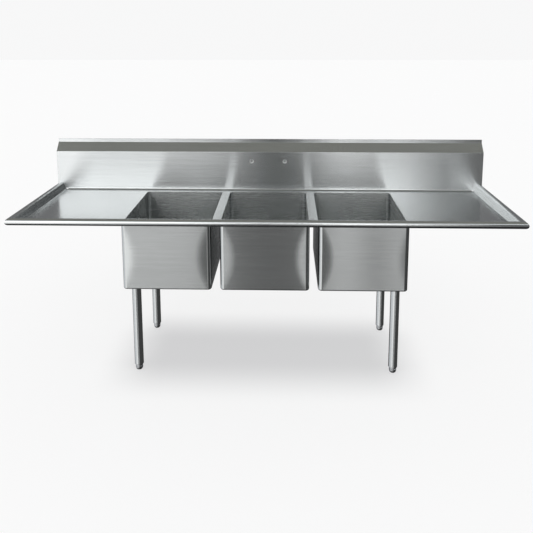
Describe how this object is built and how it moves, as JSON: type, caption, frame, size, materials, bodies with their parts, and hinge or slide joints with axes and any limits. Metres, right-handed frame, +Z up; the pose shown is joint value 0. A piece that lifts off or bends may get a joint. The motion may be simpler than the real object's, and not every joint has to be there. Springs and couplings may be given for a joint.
{
  "type": "three compartment sink",
  "caption": "Free-standing stainless scullery sink: deep bowls between rimmed drainboards, sloped backsplash with tile lip, lift-out drain baskets, tube legs on height-adjustable feet.",
  "frame": {"origin": "on the floor, at the centre of the sink's bounding box", "axes": "+X along the sink to the right as its user stands, the user stands at -Y, +Z up"},
  "size_m": [2.622, 0.768, 1.1615],
  "materials": {
    "brushed_sheet": "horizontally brushed stainless sheet, No. 4 polish",
    "leg_tube": "satin stainless tube",
    "bright_steel": "polished stainless",
    "foot_steel": "turned stainless",
    "seal_rubber": "matt black moulded rubber",
    "fibre_washer": "pressed fibre"
  },
  "bodies": {
    "sink": {"front_rim": "brushed_sheet", "left_rim": "brushed_sheet", "right_rim": "brushed_sheet", "backsplash": "brushed_sheet", "left_end_cap": "brushed_sheet", "right_end_cap": "brushed_sheet", "left_drainboard": "brushed_sheet", "right_drainboard": "brushed_sheet", "left_channel": "brushed_sheet", "right_channel": "brushed_sheet", "left_divider": "brushed_sheet", "right_divider": "brushed_sheet", "bowl_left": "brushed_sheet", "bowl_middle": "brushed_sheet", "bowl_right": "brushed_sheet", "strainer_left": "bright_steel", "gasket_left": "seal_rubber", "washer_left": "fibre_washer", "locknut_left": "bright_steel", "strainer_middle": "bright_steel", "gasket_middle": "seal_rubber", "washer_middle": "fibre_washer", "locknut_middle": "bright_steel", "strainer_right": "bright_steel", "gasket_right": "seal_rubber", "washer_right": "fibre_washer", "locknut_right": "bright_steel", "socket_front_left": "brushed_sheet", "leg_front_left": "leg_tube", "insert_front_left": "foot_steel", "socket_front_right": "brushed_sheet", "leg_front_right": "leg_tube", "insert_front_right": "foot_steel", "socket_back_left": "brushed_sheet", "leg_back_left": "leg_tube", "insert_back_left": "foot_steel", "socket_back_right": "brushed_sheet", "leg_back_right": "leg_tube", "insert_back_right": "foot_steel", "set_screws": "foot_steel"},
    "basket_left": {"basket_left": "bright_steel", "stopper_left": "seal_rubber"},
    "basket_middle": {"basket_middle": "bright_steel", "stopper_middle": "seal_rubber"},
    "basket_right": {"basket_right": "bright_steel", "stopper_right": "seal_rubber"},
    "foot_front_left": {"foot_front_left": "foot_steel"},
    "foot_front_right": {"foot_front_right": "foot_steel"},
    "foot_back_left": {"foot_back_left": "foot_steel"},
    "foot_back_right": {"foot_back_right": "foot_steel"}
  },
  "joints": [
    {"name": "basket_left_lift", "type": "slide", "parent": "sink", "child": "basket_left", "axis": [0, 0, 1], "range_m": [0, 0.42]},
    {"name": "basket_middle_lift", "type": "slide", "parent": "sink", "child": "basket_middle", "axis": [0, 0, 1], "range_m": [0, 0.42]},
    {"name": "basket_right_lift", "type": "slide", "parent": "sink", "child": "basket_right", "axis": [0, 0, 1], "range_m": [0, 0.42]},
    {"name": "foot_front_left_height", "type": "slide", "parent": "sink", "child": "foot_front_left", "axis": [0, 0, -1], "range_m": [0, 0.025]},
    {"name": "foot_front_right_height", "type": "slide", "parent": "sink", "child": "foot_front_right", "axis": [0, 0, -1], "range_m": [0, 0.025]},
    {"name": "foot_back_left_height", "type": "slide", "parent": "sink", "child": "foot_back_left", "axis": [0, 0, -1], "range_m": [0, 0.025]},
    {"name": "foot_back_right_height", "type": "slide", "parent": "sink", "child": "foot_back_right", "axis": [0, 0, -1], "range_m": [0, 0.025]}
  ]
}
